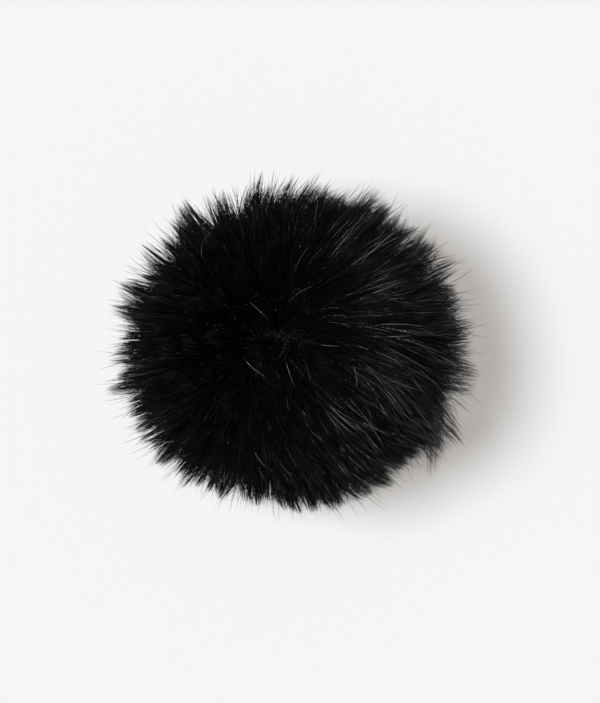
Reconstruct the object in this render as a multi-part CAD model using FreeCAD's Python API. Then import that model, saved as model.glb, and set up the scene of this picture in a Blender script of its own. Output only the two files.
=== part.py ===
import FreeCAD, Part
import math
import os

# Ball windshield with a fur cover, for a 19 mm pencil microphone.  Millimetres, +Z up.
# The origin is the centre of the neck's end face, so the object stands on z = 0 with
# the microphone entering from below and the crown of the fur at the top.

# Ball
BALL_Z = 45.0                           # height of the ball's centre
FUR_HALF = (47.5, 43.0, 43.5)           # half sizes of the dense fur along X, Y and Z
BACKING_R = 28.6                        # inner face of the fur's knitted backing
SEAM_R, SEAM_T, SEAM_W = 27.8, 0.6, 4.6     # flattened seam allowances: radius, thickness, width
CAGE_R, CAGE_T = 27.6, 1.7              # moulded cage: outer radius, wall
GAUZE_R, GAUZE_T = 25.6, 0.3            # wind gauze: outer radius, thickness
FOAM_R, FOAM_T = 24.6, 4.2              # open-cell foam liner: outer radius, thickness
BAND_R, BAND_T, BAND_H = 25.65, 0.75, 5.0   # hoop that locates the two cage halves
PANEL_GAP = 0.3                         # clear width between neighbouring fur panels
SOFT_CLEAR = 0.3                        # between a soft piece and what it lies beside
SEAM_LOW = 25.5                         # lower end of the seam allowances
CROWN_CLEAR_R, PATCH_R = 4.0, 3.7       # where the seams stop at the crown, and the patch there

# Cage lattice
SEGMENTS = 12                           # ribs round the ball
RIB_W = 2.0                             # width of a rib
UPPER_BANDS = ((5.5, 24.0), (27.5, 45.0), (48.5, 64.0), (67.5, 79.0))   # open latitudes, degrees
LOWER_BANDS = ((5.5, 24.0), (27.5, 44.0))
TONGUE_R, TONGUE_T, TONGUE_H = 26.4, 0.7, 1.3   # tongue on the upper rim: inner radius, wall, depth
TONGUE_CLEAR = 0.1
WINDOW_REACH = 4.0                      # how far a window's cut runs either side of the wall

# Neck
NECK_R = 16.6                           # outside of the neck's lower part
SHANK_R, SHANK_LOW = 14.8, 16.5         # slimmer part above it: outside, lower end
CHAMBER_R, CHAMBER_H = 14.7, 7.4        # pocket in the neck's end for the gland and its ring
THROAT_R = 12.3                         # hole above the pocket
SPIGOT_R, SPIGOT_TOP = 13.9, 28.4       # spigot that locates the neck in the cage
FLANGE_R, FLANGE_T = 18.4, 2.4
GASKET_T = 0.6
BOSS_BOTTOM, BOSS_T, BOSS_R = 25.0, 2.2, 19.6   # flat ring moulded in the lower cage
BOSS_HOLE_R = 14.0
GROOVE_R, GROOVE_LOW, GROOVE_HIGH = 15.2, 9.2, 14.2  # groove that holds the fur's hem

# Screws, four M2 pan heads driven from inside the cage
SCREWS = 4
SCREW_PITCH_R = 16.5
SCREW_R, SCREW_HOLE_R = 1.0, 1.2
SCREW_HEAD_R, SCREW_HEAD_H = 1.7, 1.3
SCREW_LOW = 22.4                        # tip of a screw, above the flange's underside
SCREW_HEAD_ROUND = 0.5
RECESS_L, RECESS_W, RECESS_DEPTH = 1.8, 0.4, 0.7    # cross recess

# Gland that grips the microphone
MIC_R = 9.5
GLAND_BARREL_R, GLAND_TOP = 12.0, 24.0
GLAND_FLANGE_R, GLAND_FLANGE_T = 14.3, 2.0
GLAND_LIP_R, GLAND_LOW = 10.9, 0.8
GLAND_LIP_CHAMFER = 0.4
GLAND_TAPER_H, GLAND_TAPER_T = 1.5, 1.2 # thinned upper end of the barrel

# Twist-lock ring
RING_R, RING_BORE_R = 14.62, 11.2
RING_LOW, RING_TOP = 2.0, 5.25
RING_RIBS, RING_RIB_W, RING_RIB_LOW, RING_RIB_INSET = 24, 0.9, 0.5, 0.35
RING_POINTER_W = 3.6                    # the one wide rib that shows how far the ring is turned
LUGS = 3
LUG_R, LUG_DEG = 15.65, 16.0
LUG_LOW, LUG_TOP = 2.5, 4.2
LUG_CLEAR = 0.1
LUG_CLEAR_DEG = 0.8
TWIST_DEG = 30.0                        # turn from locked to free

# Hem
HEM_R = 16.8                            # radius of the elastic's centre line
HEM_Z = 11.0
ELASTIC_R = 0.8
CHANNEL_R = 0.95                        # inside of the fold that holds the elastic
TAPE_T = 0.5
HEM_LEG_TOP = 13.9
HEM_CLEAR_R = 19.4                      # inside of the fur round the neck
STITCHES = 36
STITCH_R, STITCH_Z = 0.2, 13.0
STITCH_SHARE = 0.62                     # share of the hem's length that shows thread
STITCH_GAP = 0.02

OVERLAP = 1.0                           # how far joined solids run into each other, and cuts past a face
BEYOND = 100.0                          # longer than anything here, for cuts that go right through

CENTRE = FreeCAD.Vector(0, 0, BALL_Z)
UP = FreeCAD.Vector(0, 0, 1)
ORIGIN = FreeCAD.Vector(0, 0, 0)


def cylinder(radius, low, high):
    return Part.makeCylinder(radius, high - low, FreeCAD.Vector(0, 0, low))


def tube(outer, inner, low, high):
    return cylinder(outer, low, high).cut(cylinder(inner, low - OVERLAP, high + OVERLAP))


def ball(radius):
    return Part.makeSphere(radius, CENTRE)


def ball_shell(outer, thickness):
    return ball(outer).cut(ball(outer - thickness))


def slab(low, high):
    """Everything between two heights, wider than the object."""
    return cylinder(BEYOND, low, high)


def turned(shape, degrees):
    copy = shape.copy()
    copy.rotate(ORIGIN, UP, degrees)
    return copy


def revolved(points, degrees=360.0, start=0.0):
    """Turn a closed outline of (radius, height) points about Z."""
    corners = [FreeCAD.Vector(radius, 0, height) for radius, height in points]
    face = Part.Face(Part.makePolygon(corners + corners[:1]))
    return turned(face.revolve(ORIGIN, UP, degrees), start)


def sector(outer, inner, low, high, degrees, middle):
    """A piece of a tube, so many degrees long, centred on one angle."""
    outline = ((inner, low), (outer, low), (outer, high), (inner, high))
    return revolved(outline, degrees, middle - degrees / 2)


def around(shape, count, start=0.0):
    return [turned(shape, start + 360.0 * index / count) for index in range(count)]


def screw_holes(radius, low, high):
    hole = Part.makeCylinder(radius, high - low, FreeCAD.Vector(SCREW_PITCH_R, 0, low))
    return around(hole, SCREWS, 45)


# Cage, gauze and foam

def window(low_deg, high_deg, side, index):
    """The opening between two ribs and two rings of the cage, cut along radial lines."""
    near, far = CAGE_R - WINDOW_REACH, CAGE_R + WINDOW_REACH
    corners = []
    for radius, angle in ((near, low_deg), (far, low_deg), (far, high_deg), (near, high_deg)):
        rise = math.radians(angle)
        corners.append((radius * math.cos(rise), BALL_Z + side * radius * math.sin(rise)))
    middle_r = CAGE_R * math.cos(math.radians((low_deg + high_deg) / 2))
    pitch = 360.0 / SEGMENTS
    opening = pitch - math.degrees(RIB_W / middle_r)
    return revolved(corners, opening, index * pitch - opening / 2)


def cage_half(side, bands):
    low, high = (BALL_Z, BEYOND) if side > 0 else (-BEYOND, BALL_Z)
    half = ball_shell(CAGE_R, CAGE_T).common(slab(low, high))
    windows = [window(a, b, side, index) for a, b in bands for index in range(SEGMENTS)]
    return half.cut(windows)


def upper_cage():
    tongue = tube(TONGUE_R + TONGUE_T, TONGUE_R, BALL_Z - TONGUE_H, BALL_Z + OVERLAP / 2)
    return cage_half(1, UPPER_BANDS).fuse(tongue).removeSplitter()


def lower_cage():
    groove = tube(TONGUE_R + TONGUE_T + TONGUE_CLEAR, TONGUE_R - TONGUE_CLEAR,
                  BALL_Z - TONGUE_H - TONGUE_CLEAR, BALL_Z + OVERLAP)
    boss = cylinder(BOSS_R, BOSS_BOTTOM, BOSS_BOTTOM + BOSS_T)
    half = cage_half(-1, LOWER_BANDS).cut(slab(0, BOSS_BOTTOM)).fuse(boss)
    hole = cylinder(BOSS_HOLE_R, 0, BALL_Z)
    return half.cut([groove, hole] + screw_holes(SCREW_HOLE_R, 0, BALL_Z)).removeSplitter()


def cage_joint_band():
    return tube(BAND_R, BAND_R - BAND_T, BALL_Z - BAND_H / 2, BALL_Z + BAND_H / 2)


def liner_half(outer, thickness, low, high):
    return ball_shell(outer, thickness).common(slab(low, high))


def upper_gauze():
    return liner_half(GAUZE_R, GAUZE_T, BALL_Z + BAND_H / 2 + SOFT_CLEAR, BEYOND)


def lower_gauze():
    return liner_half(GAUZE_R, GAUZE_T, BOSS_BOTTOM + BOSS_T + SOFT_CLEAR, BALL_Z - BAND_H / 2 - SOFT_CLEAR)


def upper_foam():
    return liner_half(FOAM_R, FOAM_T, BALL_Z, BEYOND)


def lower_foam():
    above_screws = BOSS_BOTTOM + BOSS_T + SCREW_HEAD_H + SOFT_CLEAR
    return liner_half(FOAM_R, FOAM_T, above_screws, BALL_Z)


# Neck, gland and twist-lock ring

def bayonet_slots():
    """Three L-shaped slots: straight in from the end of the neck, then round."""
    slots = []
    wide = LUG_DEG + 2 * LUG_CLEAR_DEG
    outer, inner = LUG_R + LUG_CLEAR, CHAMBER_R - OVERLAP
    for index in range(LUGS):
        locked = 360.0 * index / LUGS
        free = locked + TWIST_DEG
        middle = locked + TWIST_DEG / 2
        slots.append(sector(outer, inner, -OVERLAP, LUG_TOP + LUG_CLEAR, wide, free))
        slots.append(sector(outer, inner, LUG_LOW - LUG_CLEAR, LUG_TOP + LUG_CLEAR, wide + TWIST_DEG, middle))
    return slots


def neck_collar():
    flange_top = BOSS_BOTTOM - GASKET_T
    body = cylinder(NECK_R, 0, SHANK_LOW)
    shank = cylinder(SHANK_R, SHANK_LOW - OVERLAP, flange_top)
    flange = cylinder(FLANGE_R, flange_top - FLANGE_T, flange_top)
    spigot = cylinder(SPIGOT_R, flange_top - OVERLAP, SPIGOT_TOP)
    solid = body.fuse([shank, flange, spigot])
    throat = cylinder(THROAT_R, -OVERLAP, SPIGOT_TOP + OVERLAP)
    chamber = cylinder(CHAMBER_R, -OVERLAP, CHAMBER_H)
    groove = tube(BEYOND, GROOVE_R, GROOVE_LOW, GROOVE_HIGH)
    pilots = screw_holes(SCREW_R, SCREW_LOW, BALL_Z)
    return solid.cut([throat, chamber, groove] + bayonet_slots() + pilots).removeSplitter()


def neck_gasket():
    washer = tube(FLANGE_R, BOSS_HOLE_R, BOSS_BOTTOM - GASKET_T, BOSS_BOTTOM)
    return washer.cut(screw_holes(SCREW_HOLE_R, 0, BALL_Z))


def collar_screws():
    """Pan-head screws with a cross recess."""
    seat = BOSS_BOTTOM + BOSS_T
    place = FreeCAD.Vector(SCREW_PITCH_R, 0, 0)
    top = seat + SCREW_HEAD_H
    tip = place + FreeCAD.Vector(0, 0, SCREW_LOW)
    shank = Part.makeCylinder(SCREW_R, top - RECESS_DEPTH - SCREW_LOW, tip)
    head = Part.makeCylinder(SCREW_HEAD_R, SCREW_HEAD_H, place + FreeCAD.Vector(0, 0, seat))
    rim = max(head.Edges, key=lambda edge: edge.BoundBox.ZMin)
    screw = head.makeFillet(SCREW_HEAD_ROUND, [rim]).fuse(shank)
    for length, width in ((RECESS_L, RECESS_W), (RECESS_W, RECESS_L)):
        corner = place + FreeCAD.Vector(-length / 2, -width / 2, top - RECESS_DEPTH)
        screw = screw.cut(Part.makeBox(length, width, RECESS_DEPTH + OVERLAP, corner))
    return Part.makeCompound(around(screw, SCREWS, 45))


def mic_gland():
    """Rubber sleeve: a gripping barrel, a flange that the ring holds, and an entry lip."""
    flange_low = CHAMBER_H - GLAND_FLANGE_T
    outline = ((MIC_R, GLAND_LOW),
               (GLAND_LIP_R - GLAND_LIP_CHAMFER, GLAND_LOW),
               (GLAND_LIP_R, GLAND_LOW + GLAND_LIP_CHAMFER),
               (GLAND_LIP_R, flange_low),
               (GLAND_FLANGE_R, flange_low),
               (GLAND_FLANGE_R, CHAMBER_H),
               (GLAND_BARREL_R, CHAMBER_H),
               (GLAND_BARREL_R, GLAND_TOP - GLAND_TAPER_H),
               (GLAND_BARREL_R - GLAND_TAPER_T, GLAND_TOP),
               (MIC_R, GLAND_TOP))
    return revolved(outline)


def ring_rib(width):
    """Radial rib under the lock ring."""
    length = RING_R - RING_BORE_R - 2 * RING_RIB_INSET
    corner = FreeCAD.Vector(RING_BORE_R + RING_RIB_INSET, -width / 2, RING_RIB_LOW)
    return Part.makeBox(length, width, RING_LOW - RING_RIB_LOW + OVERLAP, corner)


def lock_ring():
    """Bayonet ring with three lugs, radial finger ribs and a pointer, modelled locked."""
    ring = tube(RING_R, RING_BORE_R, RING_LOW, RING_TOP)
    lug = sector(LUG_R, RING_R - OVERLAP, LUG_LOW, LUG_TOP, LUG_DEG, 0)
    ribs = around(ring_rib(RING_RIB_W), RING_RIBS)
    return ring.fuse(around(lug, LUGS) + ribs + [ring_rib(RING_POINTER_W)]).removeSplitter()


# Fur cover

def fur_shape():
    """The dense fur as one body: an uneven ball, hollow for the cage, open at the neck."""
    largest = max(FUR_HALF)
    scale = FreeCAD.Matrix()
    scale.scale(FUR_HALF[0] / largest, FUR_HALF[1] / largest, FUR_HALF[2] / largest)
    outside = Part.makeSphere(largest).transformGeometry(scale)
    outside.translate(CENTRE)
    return outside.cut([ball(BACKING_R), cylinder(HEM_CLEAR_R, -BEYOND, BALL_Z)])


def fur_panel(whole, middle_deg):
    """One of four gores, each a quarter of the cover."""
    half_gap = PANEL_GAP / 2
    quarter = Part.makeBox(BEYOND, BEYOND, 2 * BEYOND, FreeCAD.Vector(half_gap, half_gap, -BEYOND))
    return whole.common(turned(quarter, middle_deg - 45))


def panel_seam(angle):
    """Seam allowances of two gores, pressed flat inside the cover from crown to hem."""
    shell = ball(SEAM_R + SEAM_T).cut(ball(SEAM_R))
    strip = Part.makeBox(BEYOND, SEAM_W, BEYOND, FreeCAD.Vector(CROWN_CLEAR_R, -SEAM_W / 2, SEAM_LOW))
    return shell.common(turned(strip, angle))


def crown_patch():
    shell = ball(SEAM_R + SEAM_T).cut(ball(SEAM_R))
    return shell.common(cylinder(PATCH_R, BALL_Z, BEYOND))


def hem_binding():
    """Tape folded up round the elastic, with both legs standing against the hem."""
    outer, inner = CHANNEL_R + TAPE_T, CHANNEL_R
    fold = []
    for radius in (outer, inner):
        left = FreeCAD.Vector(HEM_R - radius, 0, HEM_Z)
        right = FreeCAD.Vector(HEM_R + radius, 0, HEM_Z)
        bottom = FreeCAD.Vector(HEM_R, 0, HEM_Z - radius)
        fold.append(Part.Arc(left, bottom, right).toShape())
    tops = [FreeCAD.Vector(HEM_R + offset, 0, HEM_LEG_TOP) for offset in (-outer, -inner, inner, outer)]
    ends = [FreeCAD.Vector(HEM_R + offset, 0, HEM_Z) for offset in (-outer, -inner, inner, outer)]
    edges = [fold[0], Part.makeLine(ends[3], tops[3]), Part.makeLine(tops[3], tops[2]),
             Part.makeLine(tops[2], ends[2]), fold[1], Part.makeLine(ends[1], tops[1]),
             Part.makeLine(tops[1], tops[0]), Part.makeLine(tops[0], ends[0])]
    face = Part.Face(Part.Wire(Part.__sortEdges__(edges)))
    return face.revolve(ORIGIN, UP, 360)


def hem_elastic():
    return Part.makeTorus(HEM_R, ELASTIC_R, FreeCAD.Vector(0, 0, HEM_Z))


def hem_stitching():
    """Straight stitches of thread that lie on the outer leg of the binding."""
    radius = HEM_R + CHANNEL_R + TAPE_T + STITCH_R + STITCH_GAP
    length = 2 * math.pi * radius / STITCHES * STITCH_SHARE
    core = Part.makeCylinder(STITCH_R, length, FreeCAD.Vector(radius, -length / 2, STITCH_Z),
                             FreeCAD.Vector(0, 1, 0))
    ends = [Part.makeSphere(STITCH_R, FreeCAD.Vector(radius, y, STITCH_Z)) for y in (-length / 2, length / 2)]
    stitch = core.fuse(ends).removeSplitter()
    return Part.makeCompound(around(stitch, STITCHES))


def all_parts():
    shapes = {
        "upper_cage": upper_cage(),
        "lower_cage": lower_cage(),
        "cage_joint_band": cage_joint_band(),
        "upper_gauze": upper_gauze(),
        "lower_gauze": lower_gauze(),
        "upper_foam": upper_foam(),
        "lower_foam": lower_foam(),
        "neck_collar": neck_collar(),
        "neck_gasket": neck_gasket(),
        "collar_screws": collar_screws(),
        "mic_gland": mic_gland(),
        "lock_ring": lock_ring(),
        "crown_patch": crown_patch(),
        "hem_binding": hem_binding(),
        "hem_elastic": hem_elastic(),
        "hem_stitching": hem_stitching(),
    }
    whole = fur_shape()
    for index, side in enumerate(("right", "back", "left", "front")):
        shapes["fur_panel_" + side] = fur_panel(whole, 90.0 * index)
    for index, corner in enumerate(("back_right", "back_left", "front_left", "front_right")):
        shapes["seam_" + corner] = panel_seam(45.0 + 90.0 * index)
    return shapes


os.makedirs("parts", exist_ok=True)
for name, shape in all_parts().items():
    if not shape.isValid():
        raise ValueError(name + " is not a valid shape")
    shape.exportStep("parts/" + name + ".step")
    print(name, len(shape.Solids), "solids", round(shape.Volume), "mm3")
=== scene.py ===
import math

import bpy
import numpy as np
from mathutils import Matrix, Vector


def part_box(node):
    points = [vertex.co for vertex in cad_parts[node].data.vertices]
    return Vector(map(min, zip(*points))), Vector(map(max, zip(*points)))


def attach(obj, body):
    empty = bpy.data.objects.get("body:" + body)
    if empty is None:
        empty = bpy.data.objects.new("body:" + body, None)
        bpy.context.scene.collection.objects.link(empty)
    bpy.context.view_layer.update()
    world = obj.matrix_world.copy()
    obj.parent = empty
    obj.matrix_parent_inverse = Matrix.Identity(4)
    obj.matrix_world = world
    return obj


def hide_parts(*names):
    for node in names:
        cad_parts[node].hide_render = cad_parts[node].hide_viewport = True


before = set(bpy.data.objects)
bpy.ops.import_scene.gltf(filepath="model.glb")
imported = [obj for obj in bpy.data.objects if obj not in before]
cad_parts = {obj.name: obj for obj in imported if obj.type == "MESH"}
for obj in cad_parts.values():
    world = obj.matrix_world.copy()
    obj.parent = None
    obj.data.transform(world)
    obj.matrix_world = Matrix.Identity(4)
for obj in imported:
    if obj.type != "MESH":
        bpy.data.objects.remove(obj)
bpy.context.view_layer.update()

MM = 0.001
BODY = "windscreen"
PANELS = ("right", "back", "left", "front")      # anticlockwise seen from above, from +X

# The ball of dense fur, in millimetres like every length below unless its comment says otherwise
HALF_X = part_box("fur_panel_right")[1][0] / MM
HALF_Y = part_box("fur_panel_back")[1][1] / MM
HALF_Z = 43.5
BALL_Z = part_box("fur_panel_right")[1][2] / MM - HALF_Z
CENTRE = np.array((0.0, 0.0, BALL_Z))
UP = np.array((0.0, 0.0, 1.0))
BACKING_R = 28.6                                   # outside of the fur's knitted backing
ELASTIC_PROUD = 1.0                                # how far the hem's elastic stands out of the neck
NECK_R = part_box("hem_elastic")[1][0] / MM - ELASTIC_PROUD


# ---------------------------------------------------------------- camera, floor and light

def add_camera():
    """Nearly straight down, with the long way of the ball across the picture."""
    elevation = math.radians(87)
    distance = 0.9
    width = 0.169                      # metres across the picture at the ball's centre
    target = Vector((0.0015, 0.0, BALL_Z * MM))
    back_off = Vector((0, -math.cos(elevation), math.sin(elevation)))
    data = bpy.data.cameras.new("camera")
    data.sensor_fit = "HORIZONTAL"
    data.sensor_width = 36.0
    data.lens = data.sensor_width * distance / width
    data.clip_start = 0.05
    data.clip_end = 50
    camera = bpy.data.objects.new("camera", data)
    camera.location = target + back_off * distance
    camera.rotation_euler = back_off.to_track_quat("Z", "Y").to_euler()
    bpy.context.scene.collection.objects.link(camera)
    bpy.context.scene.camera = camera


def add_floor():
    """A pale, matt sheet, far wider than the picture."""
    mesh = bpy.data.meshes.new("floor")
    half_width = 6.0                   # metres
    corners = [(x * half_width, y * half_width, 0) for x, y in ((-1, -1), (1, -1), (1, 1), (-1, 1))]
    mesh.from_pydata(corners, [], [(0, 1, 2, 3)])
    floor = bpy.data.objects.new("floor", mesh)
    bpy.context.scene.collection.objects.link(floor)
    material = bpy.data.materials.new("floor_paper")
    material.use_nodes = True
    shader = material.node_tree.nodes["Principled BSDF"]
    shader.inputs["Base Color"].default_value = (0.86, 0.855, 0.85, 1)
    shader.inputs["Roughness"].default_value = 1.0
    shader.inputs["Specular IOR Level"].default_value = 0.0
    mesh.materials.append(material)


def add_sun(name, towards, strength, spread_deg, colour):
    """Parallel light that comes from the given direction, soft by its spread."""
    data = bpy.data.lights.new(name, "SUN")
    data.energy = strength
    data.angle = math.radians(spread_deg)
    data.color = colour
    lamp = bpy.data.objects.new(name, data)
    lamp.rotation_euler = Vector(towards).to_track_quat("Z", "Y").to_euler()
    bpy.context.scene.collection.objects.link(lamp)
    return lamp


def add_light():
    """A broad key light from the left, a fill from overhead that leaves no highlights, a low
    bounce that leaves no shadow, and a white surround."""
    add_sun("key", towards=(-0.42, 0.0, 1.0), strength=2.0, spread_deg=21,
            colour=(0.945, 0.98, 1.0))
    fill = add_sun("fill", towards=(0.0, 0.0, 1.0), strength=0.55, spread_deg=8,
                   colour=(1.0, 0.955, 0.92))
    fill.visible_glossy = False
    bounce = add_sun("bounce", towards=(-1.2, 0.1, 1.0), strength=1.5, spread_deg=25,
                     colour=(1.0, 0.96, 0.93))
    bounce.data.use_shadow = False
    seen_level, light_strength = 0.913, 0.04
    world = bpy.data.worlds.new("surround")
    world.use_nodes = True
    nodes, links = world.node_tree.nodes, world.node_tree.links
    seen = nodes["Background"]
    seen.inputs["Color"].default_value = (seen_level, seen_level, seen_level, 1)
    light = nodes.new("ShaderNodeBackground")
    light.inputs["Color"].default_value = (1.0, 1.0, 1.0, 1)
    light.inputs["Strength"].default_value = light_strength
    path = nodes.new("ShaderNodeLightPath")
    mix = nodes.new("ShaderNodeMixShader")
    links.new(path.outputs["Is Camera Ray"], mix.inputs["Fac"])
    links.new(light.outputs[0], mix.inputs[1])
    links.new(seen.outputs[0], mix.inputs[2])
    links.new(mix.outputs[0], nodes["World Output"].inputs["Surface"])
    bpy.context.scene.world = world
    view = bpy.context.scene.view_settings
    view.view_transform = "Standard"
    view.look = "None"
    view.exposure = 0.0
    view.gamma = 1.0


add_camera()
add_floor()
add_light()


# ---------------------------------------------------------------- fur

WHORL = np.array((-0.36, 0.28, 0.89))              # where the nap starts, near the crown
WHORL /= np.linalg.norm(WHORL)
BRUSHED_TO = np.array((0.96, 0.28, 0.0))           # the side that the fur lies over to
SWEPT = np.array((0.40, 0.25, 0.88))               # the middle of a patch swept round from the nap
CROWN_SWEPT = np.array((0.08, -0.04, 0.996))       # the middle of a patch that lies over further
FRONT_SWEPT = np.array((0.10, -0.75, 0.65))        # the middle of one swept the other way
HEM_R, HEM_Z = 18.4, 13.9                          # lower edge of the backing, on the neck
OPEN_R = 19.4                                      # where the backing leaves the ball for the neck
OPEN_Z = -math.sqrt(BACKING_R ** 2 - OPEN_R ** 2)  # the same, below the ball's centre
SKIRT_SHARE = 0.12                                 # share of the hair that grows below that line
SKIRT_FALL = 0.35                                  # how much the skirt's normals point down
BALL_SHARE = 0.87                                  # share of the whole ball above the opening
SIDES = 3                                          # faces round a strand
LONGEST = 11.0                                     # most that a hair stands out of the even ball
FLOOR_CLEAR = 0.35                                 # lowest that a hair hangs
FLOOR_EASE = 2.0                                   # height over which hanging hairs level out
NECK_CLEAR = 0.7                                   # between the neck and the hairs beside it
NECK_TOP = 20.0                                    # height up to which the neck pushes hairs out
PIECE_FACES = 190000                               # most faces in one piece of pile


def unit(vectors):
    """The vectors at length one."""
    return vectors / np.maximum(np.linalg.norm(vectors, axis=-1, keepdims=True), 1e-9)


def dot(a, b):
    """Dot products of rows, kept as a column."""
    return (a * b).sum(-1, keepdims=True)


def smooth(edge0, edge1, value):
    """Eased step from 0 at the first edge to 1 at the second."""
    t = np.clip((value - edge0) / (edge1 - edge0), 0, 1)
    return t * t * (3 - 2 * t)


def ripples(points, wavelength, seed, waves=9):
    """Smooth noise of about unit size: a sum of plane waves with seeded directions and phases."""
    rng = np.random.default_rng(seed)
    directions = unit(rng.normal(size=(waves, 3))) * (2 * math.pi / wavelength)
    directions *= rng.uniform(0.7, 1.4, (waves, 1))
    phases = rng.uniform(0, 2 * math.pi, waves)
    return np.sin(points @ directions.T + phases).sum(1) * math.sqrt(2.0 / waves)


def turned(vectors, axes, angles):
    """Turn tangent vectors about the surface normals."""
    return unit(vectors * np.cos(angles)[:, None] + np.cross(axes, vectors) * np.sin(angles)[:, None])


def spread_on_ball(count, rng, jitter):
    """Evenly spread unit vectors (a golden-angle spiral), each moved a little."""
    index = np.arange(count) + 0.5
    z = 1 - 2 * index / count
    turn = index * math.pi * (3 - math.sqrt(5))
    flat = np.sqrt(1 - z * z)
    points = np.stack((flat * np.cos(turn), flat * np.sin(turn), z), 1)
    spacing = math.sqrt(4 * math.pi / count)
    return unit(points + rng.normal(size=points.shape) * spacing * jitter)


def nearest(points, centres):
    """Index of the nearest centre for each point, in blocks to keep memory small."""
    block = 4000
    found = np.empty(len(points), int)
    for start in range(0, len(points), block):
        found[start:start + block] = np.argmax(points[start:start + block] @ centres.T, axis=1)
    return found


def nap(normals):
    """Direction that the fur is combed in: away from the whorl above, towards the neck below, with
    broad swirls all over, two swept patches, and a tangle at the whorl itself."""
    below = smooth(0.1, -0.75, normals[:, 2])[:, None]
    pole = unit(WHORL * (1 - below) + UP * below)
    flow = unit(normals * dot(normals, pole) - pole)
    swirl = 0.28 * ripples(normals, wavelength=1.5, seed=11)
    swirl += 0.20 * ripples(normals, wavelength=0.6, seed=12)
    swirl -= 0.65 * smooth(0.70, 0.95, normals @ SWEPT)
    swirl += 0.75 * smooth(0.55, 0.95, normals @ FRONT_SWEPT)
    tangle = 1.5 * smooth(0.80, 0.995, normals @ WHORL)
    return turned(flow, normals, swirl + tangle * ripples(normals, wavelength=0.25, seed=13))


def ball_radius(directions):
    """Radius of the even ball that the CAD panels make."""
    return 1 / np.linalg.norm(directions / np.array((HALF_X, HALF_Y, HALF_Z)), axis=1)


def fur_radius(directions):
    """How far the dense fur reaches from the ball's centre: uneven, and longer at the back."""
    uneven = 0.016 * ripples(directions, wavelength=0.9, seed=21)
    uneven += 0.010 * ripples(directions, wavelength=0.4, seed=22)
    longer = 0.02 * directions[:, 1]
    return ball_radius(directions) * (1 + uneven + longer)


def shag(directions):
    """How ragged the fur's outline is: long and loose at the back, short at the front."""
    return 1 + 0.7 * smooth(0.2, 0.9, directions[:, 1]) - 0.5 * smooth(0.2, 0.9, -directions[:, 1])


def grow(count, rng):
    """Roots over the whole backing, with the surface's normal and the nap at each.

    Most are on the ball. The rest are on the skirt between the ball and the hem."""
    normals = spread_on_ball(int(count * (1 - SKIRT_SHARE) / BALL_SHARE), rng, 0.45)
    normals = normals[normals[:, 2] * BACKING_R > OPEN_Z]
    flow = nap(normals)
    skirt = int(count * SKIRT_SHARE)
    turn = rng.uniform(0, 2 * math.pi, skirt)
    fall = rng.uniform(0, 1, skirt)
    radius = OPEN_R + (HEM_R - OPEN_R) * fall
    height = OPEN_Z + (HEM_Z - BALL_Z - OPEN_Z) * fall
    outward = np.stack((np.cos(turn), np.sin(turn), np.zeros(skirt)), 1)
    roots = outward * radius[:, None] + UP * height[:, None]
    skirt_normals = unit(outward - SKIRT_FALL * UP)
    skirt_flow = unit(skirt_normals * skirt_normals[:, 2:3] - UP)
    skirt_flow = turned(skirt_flow, skirt_normals, 0.25 * rng.normal(size=skirt))
    return (np.concatenate((normals * BACKING_R, roots)), np.concatenate((normals, skirt_normals)),
            np.concatenate((flow, skirt_flow)))


def comb(roots, normals, flow, reach, lean, steps, bend, curl):
    """Centre lines of strands that lean along the nap, bend over and curl sideways towards their
    tips, and are as long as it takes for the tip to end at the given reach from the ball's centre."""
    straight = normals * np.cos(lean)[:, None] + flow * np.sin(lean)[:, None]
    rise = dot(roots, straight)[:, 0]
    length = np.sqrt(np.maximum(rise ** 2 - dot(roots, roots)[:, 0] + reach ** 2, 1.0)) - rise
    along = (np.arange(steps) + 0.5) / steps
    angle = np.clip(lean[:, None] + bend * (along - 0.5)[None], -0.2, 1.8)
    step = (length / steps)[:, None, None]
    side = np.cross(normals, flow)
    turn = (curl[:, None] * (along - 0.4)[None])[..., None]
    ahead = np.cos(turn) * flow[:, None] + np.sin(turn) * side[:, None]
    move = step * (np.cos(angle)[..., None] * normals[:, None] + np.sin(angle)[..., None] * ahead)
    path = np.concatenate((np.zeros((len(normals), 1, 3)), np.cumsum(move, axis=1)), axis=1)
    return path + roots[:, None]


def settle(path):
    """Keep strands off the floor and out of the neck."""
    over = path[..., 2] + BALL_Z - FLOOR_CLEAR
    eased = FLOOR_EASE * np.exp(np.minimum(over - FLOOR_EASE, 0) / FLOOR_EASE)
    lifted = np.where(over < FLOOR_EASE, eased, over)
    path[..., 2] = lifted + FLOOR_CLEAR - BALL_Z
    flat = np.linalg.norm(path[..., :2], axis=-1)
    inside = (flat < NECK_R + NECK_CLEAR) & (lifted < NECK_TOP)
    beside = NECK_R + NECK_CLEAR + 0.25 * flat / NECK_R
    push = np.where(inside, beside / np.maximum(flat, 1e-6), 1.0)
    path[..., :2] *= push[..., None]
    return path


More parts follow.
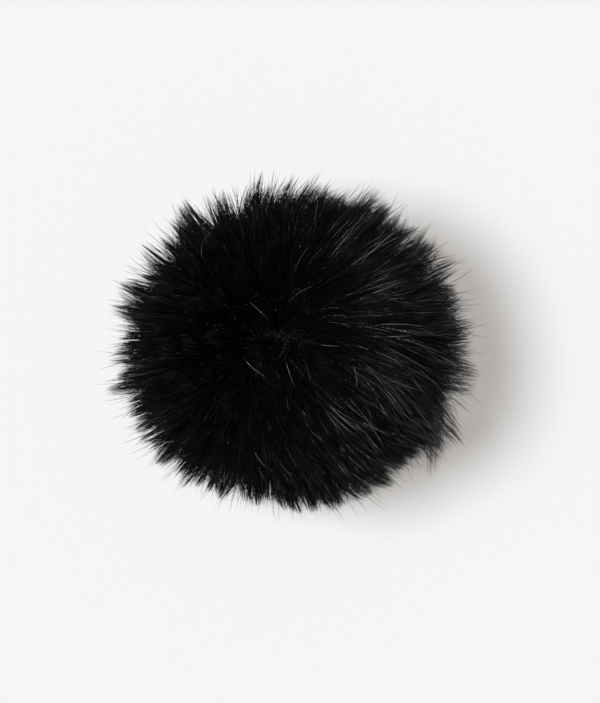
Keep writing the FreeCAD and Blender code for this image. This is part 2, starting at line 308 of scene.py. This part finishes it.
def strand_mesh(name, path, radius, tones, materials):
    """Closed three-sided strands that taper to a point, all in one mesh."""
    count, rings = path.shape[0], path.shape[1] - 1
    tangent = unit(np.gradient(path, axis=1))
    across = np.cross(tangent[:, 0], tangent[:, -1])
    weak = np.linalg.norm(across, axis=1) < 1e-3
    across[weak] = np.cross(tangent[weak, 0], (0.3, 0.8, 0.5))
    first = unit(across[:, None] - tangent * dot(tangent, across[:, None]))
    second = np.cross(tangent, first)
    turn = 2 * math.pi * np.arange(SIDES) / SIDES
    ring = np.cos(turn)[:, None] * first[:, :-1, None] + np.sin(turn)[:, None] * second[:, :-1, None]
    body = path[:, :-1, None] + ring * radius[:, :-1, None, None]
    stride = rings * SIDES + 1
    points = np.empty((count, stride, 3), np.float32)
    points[:, :-1] = body.reshape(count, rings * SIDES, 3)
    points[:, -1] = path[:, -1]
    points = (points.reshape(-1, 3) + CENTRE) * MM

    faces = []
    for level in range(rings - 1):
        for side in range(SIDES):
            a = level * SIDES + side
            b = level * SIDES + (side + 1) % SIDES
            faces.append((a, b, b + SIDES, a + SIDES))
    last = (rings - 1) * SIDES
    faces += [(last + side, last + (side + 1) % SIDES, stride - 1) for side in range(SIDES)]
    faces.append(tuple(reversed(range(SIDES))))
    loops_one = np.array([corner for face in faces for corner in face])
    sizes_one = np.array([len(face) for face in faces])
    loops = (loops_one[None] + (np.arange(count) * stride)[:, None]).ravel()
    sizes = np.tile(sizes_one, count)
    starts = np.concatenate(([0], np.cumsum(sizes)[:-1]))

    mesh = bpy.data.meshes.new(name)
    mesh.vertices.add(len(points))
    mesh.vertices.foreach_set("co", points.astype(np.float32).ravel())
    mesh.loops.add(len(loops))
    mesh.loops.foreach_set("vertex_index", loops.astype(np.int32))
    mesh.polygons.add(len(sizes))
    mesh.polygons.foreach_set("loop_start", starts.astype(np.int32))
    mesh.polygons.foreach_set("material_index", np.repeat(tones, len(sizes_one)).astype(np.int32))
    mesh.polygons.foreach_set("use_smooth", np.ones(len(sizes), bool))
    for material in materials:
        mesh.materials.append(material)
    mesh.update(calc_edges=True)
    piece = bpy.data.objects.new(name, mesh)
    bpy.context.scene.collection.objects.link(piece)
    return piece


def fibre(name, colour, roughness, specular):
    """Plain fibre: the pile's variety comes from its strands and from mixing five tones; the glossy and pale
    tones are also lighter in colour, a painted highlight.
    """
    material = bpy.data.materials.new(name)
    material.use_nodes = True
    shader = material.node_tree.nodes["Principled BSDF"]
    shader.inputs["Base Color"].default_value = (*colour, 1)
    shader.inputs["Roughness"].default_value = roughness
    shader.inputs["Specular IOR Level"].default_value = specular
    return material


FIBRES = [
    fibre("fur_under", (0.0025, 0.0022, 0.0025), roughness=0.7, specular=0.05),
    fibre("fur_guard_dull", (0.003, 0.0027, 0.003), roughness=0.45, specular=0.08),
    fibre("fur_guard_soft", (0.004, 0.0036, 0.004), roughness=0.36, specular=0.16),
    # The glossy and pale tones are lighter in colour as well as glossier: a painted highlight on their
    # strands.
    fibre("fur_guard_glossy_painted_highlight", (0.020, 0.019, 0.019), roughness=0.25, specular=1.0),
    fibre("fur_guard_pale_painted_highlight", (0.15, 0.145, 0.148), roughness=0.26, specular=1.0),
]
# The palest fibre's light colour is a painted highlight, so the shed hairs carry it too.
LOOSE_TONE = len(FIBRES) - 1                       # shed hairs are of the palest fibre
LOOSE_SIDE = np.array((0.0, 0.0, 2.2))             # and lie round the crown
PAINTED_HIGHLIGHT_SIDE = np.array((0.98, 0.05, 0.18))         # the pile is glossiest towards this side, and painted lighter there: a painted highlight

# Middles of the tufts and of the finer locks that neighbouring hairs cling together in
TUFTS = spread_on_ball(520, np.random.default_rng(5), 0.33)
LOCKS = spread_on_ball(6000, np.random.default_rng(6), 0.40)


def leans(normals, mean, rng, wobble):
    """How far strands lean from the surface's normal, in radians: upright at the whorl and on the
    side the nap comes from, further over at the crown and on the side that it is brushed to."""
    least, most = 0.02, 1.25
    away = smooth(0.0, 0.5, 1 - normals @ WHORL)
    brushed = normals @ BRUSHED_TO
    slow = 0.12 * ripples(normals, wavelength=0.8, seed=31)
    mean = mean * (0.35 + 0.65 * away) + 0.36 * brushed + slow
    mean += 0.35 * smooth(0.80, 0.98, normals @ CROWN_SWEPT)
    return np.clip(mean + wobble * (1 + 0.6 * brushed) * rng.normal(size=len(normals)), least, most)


def gather(path, roots, centres, reach_factor, lean, hold, steps, bend, seed, power):
    """Draw strands towards the strand at the middle of their tuft or lock, most at the tips. The
    skirt below the ball is left as it is."""
    rng = np.random.default_rng(seed)
    flow = turned(nap(centres), centres, 0.20 * rng.normal(size=len(centres)))
    uneven = 0.05 * rng.normal(size=len(centres)).clip(-2, 2) * shag(centres)
    reach = fur_radius(centres) * reach_factor * (1 + uneven)
    middle_lean = leans(centres, lean, rng, 0.12)
    curl = 0.35 * rng.normal(size=len(centres))
    middle = comb(centres * BACKING_R, centres, flow, reach, middle_lean, steps, bend, curl)
    own = nearest(unit(roots), centres)
    strength = rng.uniform(0.75, 1.0, len(centres))[own]
    along = np.linspace(0, 1, steps + 1)[None] ** power
    on_ball = smooth(OPEN_Z - 0.5, OPEN_Z + 3, roots[:, 2])
    return path + (middle[own] - path) * ((hold * strength * on_ball)[:, None] * along)[..., None]


def make_layer(layer, count, seed, reach, spread, lean, bend, untidy, width, steps, tuft_hold, lock_hold,
               tone_shares):
    """One kind of hair over the whole ball, split into the four panels.

    reach is the tips' distance from the centre as a share of the dense fur's, and spread how much
    it varies. lean, bend and untidy are in radians. width is in millimetres. The two holds say how
    firmly hairs cling to their tuft and lock. tone_shares gives the share of each of FIBRES on the
    glossy side, where the glossy and pale tones are also lighter in colour, a painted highlight;
    away from it, hairs drop to the next duller, darker tone, a painted shade."""
    rng = np.random.default_rng(seed)
    roots, normals, flow = grow(count, rng)
    count = len(roots)
    flow = turned(flow, normals, untidy * rng.normal(size=count))
    outward = unit(roots)
    ragged = 1 + spread * shag(outward) * rng.normal(size=count).clip(-2.2, 2.0)
    tips = np.minimum(fur_radius(outward) * reach * ragged, ball_radius(outward) + LONGEST)
    lean_each = leans(normals, lean, rng, untidy)
    path = comb(roots, normals, flow, tips, lean_each, steps, bend, 2.5 * untidy * rng.normal(size=count))
    in_lock = lock_hold * rng.uniform(0.75, 1, count)
    path = gather(path, roots, LOCKS, reach, lean, in_lock, steps, bend, seed=71, power=1.0)
    in_tuft = tuft_hold * rng.uniform(0.7, 1, count)
    path = gather(path, roots, TUFTS, reach * 1.04, lean, in_tuft, steps, bend, seed=72, power=2.0)
    path = settle(path)

    taper = np.linspace(1, 0, steps + 1)[None] ** 0.42
    radius = 0.5 * width * rng.uniform(0.7, 1.25, count)[:, None] * taper
    tones = rng.choice(len(tone_shares), size=count, p=tone_shares)
    # Painted highlight: hairs towards the highlight side keep their lighter, glossier tones; away from it
    # they drop to the next darker, duller tone, a painted shade.
    highlight_paint = outward @ PAINTED_HIGHLIGHT_SIDE + 0.15 * ripples(outward, wavelength=0.30, seed=51)
    shade_paint_drop = rng.uniform(size=count) > smooth(0.05, 0.75, highlight_paint)
    tones = np.maximum(tones - shade_paint_drop, 0)
    angle = np.degrees(np.arctan2(roots[:, 1], roots[:, 0]))
    panel = ((angle + 45) // 90).astype(int) % 4
    faces_each = SIDES * 2 * (steps - 1) + SIDES + 1
    for index, name in enumerate(PANELS):
        members = np.nonzero(panel == index)[0]
        parts = math.ceil(len(members) * faces_each / PIECE_FACES)
        for part, chosen in enumerate(np.array_split(members, parts)):
            piece = strand_mesh(f"pile_{name}_{layer}_{part + 1}", path[chosen], radius[chosen],
                                tones[chosen], FIBRES)
            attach(piece, BODY)
            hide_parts("fur_panel_" + name)


# The glossy and pale tones below carry the painted highlight; the sheen layer is mostly of them.
make_layer("under", 36000, seed=1, reach=0.90, spread=0.05, lean=0.45, bend=0.5, untidy=0.12,
           width=0.19, steps=4, tuft_hold=0.55, lock_hold=0.4, tone_shares=(1.0, 0, 0, 0, 0))
make_layer("guard", 38000, seed=2, reach=1.05, spread=0.045, lean=0.54, bend=0.6, untidy=0.14,
           width=0.225, steps=6, tuft_hold=0.90, lock_hold=1.00, tone_shares=(0, 0.58, 0.35, 0.07, 0))
make_layer("sheen", 7000, seed=4, reach=1.06, spread=0.05, lean=0.54, bend=0.6, untidy=0.22,
           width=0.24, steps=7, tuft_hold=0.35, lock_hold=0.2, tone_shares=(0, 0, 0.22, 0.58, 0.20))
make_layer("stray", 1300, seed=3, reach=1.15, spread=0.05, lean=0.60, bend=0.4, untidy=0.20,
           width=0.22, steps=8, tuft_hold=0.15, lock_hold=0.1, tone_shares=(0, 0.2, 0.4, 0.3, 0.1))


def make_loose_hairs(count):
    """Shed hairs that lie across the top of the pile, with their ends sunk in it."""
    rng = np.random.default_rng(8)
    steps, ball_r = 9, 45
    point = unit(rng.normal(size=(count, 3)) + LOOSE_SIDE)
    across = turned(nap(point), point, 0.5 * rng.normal(size=count))
    length = rng.uniform(5, 12, count)
    curve = rng.normal(size=count) * 0.12
    path = []
    for step in range(steps + 1):
        lift = 0.985 + 0.02 * math.sin(3.0 * step / steps)
        path.append(point * (fur_radius(point) * lift)[:, None])
        across = turned(unit(across - point * dot(across, point)), point, curve / steps)
        point = unit(point + across * (length / steps / ball_r)[:, None])
    path = np.stack(path, 1)
    taper = np.sin(np.linspace(0.35, math.pi - 0.02, steps + 1))[None] ** 0.4
    radius = rng.uniform(0.06, 0.11, (count, 1)) * taper
    # Of the palest fibre, lighter in colour as a painted highlight.
    return strand_mesh("loose_hairs", path, radius, np.full(count, LOOSE_TONE), FIBRES)


loose = make_loose_hairs(14)
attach(loose, BODY)


# ---------------------------------------------------------------- materials of the other pieces

class Shading:
    """One material's nodes: a texture of its object coordinates that drives colour, roughness and relief."""

    def __init__(self, name):
        self.material = bpy.data.materials.new(name)
        self.material.use_nodes = True
        self.nodes = self.material.node_tree.nodes
        self.links = self.material.node_tree.links
        self.shader = self.nodes["Principled BSDF"]
        self.place = self.nodes.new("ShaderNodeTexCoord").outputs["Object"]

    def noise(self, size_mm, detail=3.0):
        """Cloudy noise whose largest features have the given size."""
        node = self.nodes.new("ShaderNodeTexNoise")
        node.inputs["Scale"].default_value = 1 / (size_mm * MM)
        node.inputs["Detail"].default_value = detail
        self.links.new(self.place, node.inputs["Vector"])
        return node.outputs["Fac"]

    def cells(self, size_mm):
        """Distance to the middles of scattered cells."""
        node = self.nodes.new("ShaderNodeTexVoronoi")
        node.inputs["Scale"].default_value = 1 / (size_mm * MM)
        self.links.new(self.place, node.inputs["Vector"])
        return node.outputs["Distance"]

    def maths(self, operation, *values):
        """One arithmetic node, fed by numbers or by other nodes' outputs."""
        node = self.nodes.new("ShaderNodeMath")
        node.operation = operation
        for socket, value in zip(node.inputs, values):
            if isinstance(value, (int, float)):
                socket.default_value = value
            else:
                self.links.new(value, socket)
        return node.outputs["Value"]

    def weave(self, pitch_mm, radius_mm):
        """Threads that run round the Z axis and up it, one over the other in turn."""
        split = self.nodes.new("ShaderNodeSeparateXYZ")
        self.links.new(self.place, split.inputs[0])
        turn = self.maths("ARCTAN2", split.outputs["Y"], split.outputs["X"])
        across = self.maths("SINE", self.maths("MULTIPLY", turn, math.pi * radius_mm / pitch_mm))
        up = self.maths("SINE", self.maths("MULTIPLY", split.outputs["Z"], math.pi / (pitch_mm * MM)))
        over = self.maths("MULTIPLY", across, up)
        return self.maths("ADD", self.maths("MULTIPLY", over, 0.5), 0.5)

    def ramp(self, value, low, high):
        """Stretch a value from 0..1 to low..high."""
        node = self.nodes.new("ShaderNodeMapRange")
        node.inputs["To Min"].default_value = low
        node.inputs["To Max"].default_value = high
        self.links.new(value, node.inputs["Value"])
        return node.outputs["Result"]

    def colour(self, value, dark, light):
        """Base colour between dark and light, by the value."""
        node = self.nodes.new("ShaderNodeMix")
        node.data_type = "RGBA"
        node.inputs["A"].default_value = (*dark, 1)
        node.inputs["B"].default_value = (*light, 1)
        self.links.new(value, node.inputs["Factor"])
        self.links.new(node.outputs["Result"], self.shader.inputs["Base Color"])

    def relief(self, value, depth_mm):
        """Raise the surface by the value, up to the given depth."""
        node = self.nodes.new("ShaderNodeBump")
        node.inputs["Strength"].default_value = 1.0
        node.inputs["Distance"].default_value = depth_mm * MM
        self.links.new(value, node.inputs["Height"])
        self.links.new(node.outputs["Normal"], self.shader.inputs["Normal"])

    def rough(self, value, low, high):
        """Roughness between low and high, by the value."""
        self.links.new(self.ramp(value, low, high), self.shader.inputs["Roughness"])


def grey(level):
    """A very slightly cool grey."""
    return (level, level, level * 1.04)


def moulded_plastic(name, level, spark_mm, roughness):
    """Moulded plastic: fine spark texture, slightly uneven gloss and faint pale scuffs."""
    made = Shading(name)
    spark, scuffs = made.noise(spark_mm), made.noise(7.0, detail=6.0)
    made.colour(made.maths("POWER", scuffs, 4.0), grey(level), grey(level * 2.2))
    made.rough(scuffs, roughness - 0.08, roughness + 0.14)
    made.relief(spark, depth_mm=0.035)
    made.shader.inputs["Specular IOR Level"].default_value = 0.45
    return made.material


def rubber(name, level):
    """Soft rubber: powdery, with a fine pitted skin."""
    made = Shading(name)
    bloom, pits = made.noise(5.0, detail=5.0), made.cells(0.28)
    made.colour(bloom, grey(level), grey(level * 1.9))
    made.rough(bloom, low=0.62, high=0.85)
    made.relief(pits, depth_mm=0.02)
    made.shader.inputs["Specular IOR Level"].default_value = 0.3
    return made.material


def plated_steel(name):
    """Plated steel with cloudy patches and a fine grain."""
    made = Shading(name)
    patches, grain = made.noise(0.9, detail=5.0), made.noise(0.12)
    made.colour(patches, dark=(0.42, 0.43, 0.45), light=(0.62, 0.61, 0.58))
    made.rough(patches, low=0.22, high=0.42)
    made.relief(grain, depth_mm=0.006)
    made.shader.inputs["Metallic"].default_value = 1.0
    return made.material


def cell_foam(name, level):
    """Open-cell foam: pores painted darker than the paler struts between them, a painted shade where the
    relief sinks them.
    """
    made = Shading(name)
    pores = made.cells(0.7)
    # Painted shade: the colour darkens into each pit that the relief below sinks.
    made.colour(made.maths("POWER", pores, 1.5), grey(level * 0.25), grey(level))
    made.rough(made.noise(3.0), low=0.85, high=1.0)
    made.relief(pores, depth_mm=0.30)
    made.shader.inputs["Specular IOR Level"].default_value = 0.1
    return made.material


def woven(name, level, pitch_mm, radius_mm, depth_mm):
    """Cloth with a thread pattern round the object's axis, and a little fuzz; the threads are painted darker
    where they dip, a painted shade, and the fuzz varies the tone at random.
    """
    made = Shading(name)
    threads, fuzz = made.weave(pitch_mm, radius_mm), made.noise(0.35)
    mixed = made.maths("ADD", made.maths("MULTIPLY", threads, 0.75), made.maths("MULTIPLY", fuzz, 0.25))
    # Painted shade: the value that sinks the relief also darkens the colour, so threads are darker where
    # they dip; its fuzz part is a random tone.
    made.colour(mixed, grey(level * 0.5), grey(level * 1.4))
    made.rough(fuzz, low=0.75, high=0.95)
    made.relief(mixed, depth_mm)
    made.shader.inputs["Specular IOR Level"].default_value = 0.2
    made.shader.inputs["Sheen Weight"].default_value = 0.3
    return made.material


CAGE_PLASTIC = moulded_plastic("cage_plastic", level=0.022, spark_mm=0.45, roughness=0.52)
NECK_PLASTIC = moulded_plastic("neck_plastic", level=0.014, spark_mm=0.30, roughness=0.42)
RING_PLASTIC = moulded_plastic("ring_plastic", level=0.040, spark_mm=0.35, roughness=0.48)
SEALING_RUBBER = rubber("sealing_rubber", level=0.014)
SCREW_STEEL = plated_steel("screw_steel")
LINER_FOAM = cell_foam("liner_foam", level=0.06)
WIND_GAUZE = woven("wind_gauze", level=0.030, pitch_mm=0.45, radius_mm=25.0, depth_mm=0.10)
BACKING_KNIT = woven("backing_knit", level=0.010, pitch_mm=0.80, radius_mm=BACKING_R, depth_mm=0.15)
HEM_TAPE = woven("hem_tape", level=0.014, pitch_mm=0.50, radius_mm=17.0, depth_mm=0.10)
THREAD = woven("stitch_thread", level=0.022, pitch_mm=0.25, radius_mm=18.0, depth_mm=0.05)

RIGID_FINISHES = {
    "upper_cage": CAGE_PLASTIC,
    "lower_cage": CAGE_PLASTIC,
    "cage_joint_band": CAGE_PLASTIC,
    "neck_collar": NECK_PLASTIC,
    "lock_ring": RING_PLASTIC,
    "mic_gland": SEALING_RUBBER,
    "neck_gasket": SEALING_RUBBER,
    "collar_screws": SCREW_STEEL,
}
for node, material in RIGID_FINISHES.items():
    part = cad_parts[node]
    part.data.materials.clear()
    part.data.materials.append(material)


# ---------------------------------------------------------------- sheets: fur backing and gauze

def sheet_of_turn(name, profile, middle_deg, half_deg, columns, gap, thickness, material, node):
    """A thin closed shell on a (radius, height) profile in millimetres, swept part of the way or
    all the way round the Z axis."""
    closed = half_deg == 180
    points, faces = [], []
    for radius, height in profile:
        half_turn = math.radians(half_deg) - (0 if closed else gap / 2 / radius)
        for column in range(columns if closed else columns + 1):
            turn = math.radians(middle_deg) + half_turn * (2 * column / columns - 1)
            points.append((radius * math.cos(turn) * MM, radius * math.sin(turn) * MM, height * MM))
    stride = columns if closed else columns + 1
    for row in range(len(profile) - 1):
        for column in range(columns):
            a, b = row * stride + column, row * stride + (column + 1) % stride
            faces.append((a, a + stride, b + stride, b))
    mesh = bpy.data.meshes.new(name)
    mesh.from_pydata(points, [], faces)
    mesh.polygons.foreach_set("use_smooth", [True] * len(faces))
    mesh.materials.append(material)
    piece = bpy.data.objects.new(name, mesh)
    bpy.context.scene.collection.objects.link(piece)
    solidify = piece.modifiers.new("thickness", "SOLIDIFY")
    solidify.thickness = thickness * MM
    solidify.offset = 1.0
    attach(piece, BODY)
    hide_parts(node)
    return piece


def ball_profile(radius, polar_from, polar_to, rows):
    """Points (radius, height) down a ball between two polar angles."""
    polars = np.linspace(polar_from, polar_to, rows + 1)
    return [(radius * math.sin(polar), BALL_Z + radius * math.cos(polar)) for polar in polars]


CROWN_POLAR = 0.03                                 # polar angle where the sheets stop at the crown
GAUZE_R = 25.45                                    # outside of the wind gauze
GAUZE_PROFILE_IN = 0.15                            # from there in to the gauze's profile
gore_profile = ball_profile(BACKING_R, CROWN_POLAR, math.acos(OPEN_Z / BACKING_R), 44)
gore_profile += [(HEM_R, HEM_Z)]
for index, name in enumerate(PANELS):
    gore = sheet_of_turn("backing_" + name, gore_profile, middle_deg=90.0 * index, half_deg=45,
                         columns=24, gap=0.25, thickness=0.5, material=BACKING_KNIT,
                         node="fur_panel_" + name)

for name in ("upper", "lower"):
    low, high = (corner[2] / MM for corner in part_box(name + "_gauze"))
    from_polar = CROWN_POLAR if name == "upper" else math.acos((high - BALL_Z) / GAUZE_R)
    to_polar = math.acos((low - BALL_Z) / GAUZE_R)
    profile = ball_profile(GAUZE_R - GAUZE_PROFILE_IN, from_polar, to_polar, 36)
    gauze = sheet_of_turn(name + "_wind_gauze", profile, middle_deg=0, half_deg=180, columns=96, gap=0,
                          thickness=0.3, material=WIND_GAUZE, node=name + "_gauze")


# ---------------------------------------------------------------- soft pieces made from their solids

STITCHES = 36
HEM_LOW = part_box("hem_binding")[0][2] / MM
HEM_MIDDLE = (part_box("hem_elastic")[0][2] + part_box("hem_elastic")[1][2]) / 2 / MM
HEM_RING_R = 16.8                                  # middle of the elastic's round section
BRAID_TURNS = 150                                  # threads of its braid round the ring


def softened(name, node, voxel, offset, material):
    """A soft piece in the space of its CAD solid: remeshed finely, then moved along its normals
    by an offset in millimetres that depends on the place."""
    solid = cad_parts[node]
    work = bpy.data.objects.new(name, solid.data.copy())
    bpy.context.scene.collection.objects.link(work)
    remesh = work.modifiers.new("remesh", "REMESH")
    remesh.mode = "VOXEL"
    remesh.voxel_size = voxel * MM
    remesh.use_smooth_shade = True
    depsgraph = bpy.context.evaluated_depsgraph_get()
    mesh = bpy.data.meshes.new_from_object(work.evaluated_get(depsgraph))
    work.modifiers.clear()
    work.data = mesh
    count = len(mesh.vertices)
    points, normals = np.empty(count * 3, np.float32), np.empty(count * 3, np.float32)
    mesh.vertices.foreach_get("co", points)
    mesh.vertices.foreach_get("normal", normals)
    points, normals = points.reshape(-1, 3).astype(float), normals.reshape(-1, 3).astype(float)
    moved = points + normals * (offset(points / MM) * MM)[:, None]
    mesh.vertices.foreach_set("co", moved.astype(np.float32).ravel())
    mesh.materials.clear()
    mesh.materials.append(material)
    mesh.update()
    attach(work, BODY)
    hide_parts(node)
    return work


def pores(points):
    """Pits in the foam's skin, only inwards."""
    return -0.14 * np.abs(ripples(points, wavelength=2.4, seed=41, waves=14)).clip(0, 1.6)


def raw_edge(points):
    """The uneven, slightly fluffy face of a trimmed seam allowance, only inwards."""
    return -0.05 * np.abs(ripples(points, wavelength=1.5, seed=42, waves=12)).clip(0, 1.6)


def puckers(points):
    """Gathers of the binding between its stitches."""
    turn = np.arctan2(points[:, 1], points[:, 0])
    return -0.05 + 0.05 * np.cos(STITCHES * turn) * smooth(HEM_LOW, HEM_LOW + 2.5, points[:, 2])


def braid(points):
    """The braided cover of the elastic."""
    turn = np.arctan2(points[:, 1], points[:, 0])
    flat = np.hypot(points[:, 0], points[:, 1])
    round_it = np.arctan2(points[:, 2] - HEM_MIDDLE, flat - HEM_RING_R)
    one_way = np.sin(BRAID_TURNS * turn + 3 * round_it)
    other_way = np.sin(BRAID_TURNS * turn - 3 * round_it)
    return -0.05 + 0.05 * one_way * other_way


for half in ("upper", "lower"):
    foam = softened(half + "_foam_liner", half + "_foam", voxel=0.8, offset=pores,
                    material=LINER_FOAM)
for corner in ("back_right", "back_left", "front_left", "front_right"):
    softened("seam_allowance_" + corner, "seam_" + corner, voxel=0.25, offset=raw_edge,
             material=BACKING_KNIT)
softened("crown_tape", "crown_patch", voxel=0.25, offset=raw_edge, material=HEM_TAPE)
softened("hem_tape", "hem_binding", voxel=0.25, offset=puckers, material=HEM_TAPE)
softened("hem_cord_elastic", "hem_elastic", voxel=0.18, offset=braid, material=HEM_TAPE)


def make_stitches():
    """Two-ply stitches of thread along the hem, each a pair of strands twisted together."""
    box_low, box_high = (np.array(corner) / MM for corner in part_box("hem_stitching"))
    steps, ply_r, ply_thick, end_dip = 10, 0.1, 0.105, 0.12
    radius, height = box_high[0] - 2 * ply_r, (box_low[2] + box_high[2]) / 2
    covered = 0.66                                 # share of the hem's round under thread
    half = math.pi / STITCHES * covered
    along = np.linspace(-1, 1, steps + 1)
    path = []
    for stitch in range(STITCHES):
        turn = 2 * math.pi * stitch / STITCHES + half * along
        for ply in range(2):
            twist = math.pi * (2.2 * along + ply)
            out = radius + ply_r * np.cos(twist) - end_dip * np.abs(along) ** 6
            rise = height + ply_r * np.sin(twist) - BALL_Z
            path.append(np.stack((out * np.cos(turn), out * np.sin(turn), rise), 1))
    path = np.array(path)
    thick = np.full(path.shape[:2], ply_thick)
    return strand_mesh("hem_thread", path, thick, np.zeros(len(path), int), [THREAD])


thread = make_stitches()
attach(thread, BODY)
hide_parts("hem_stitching")
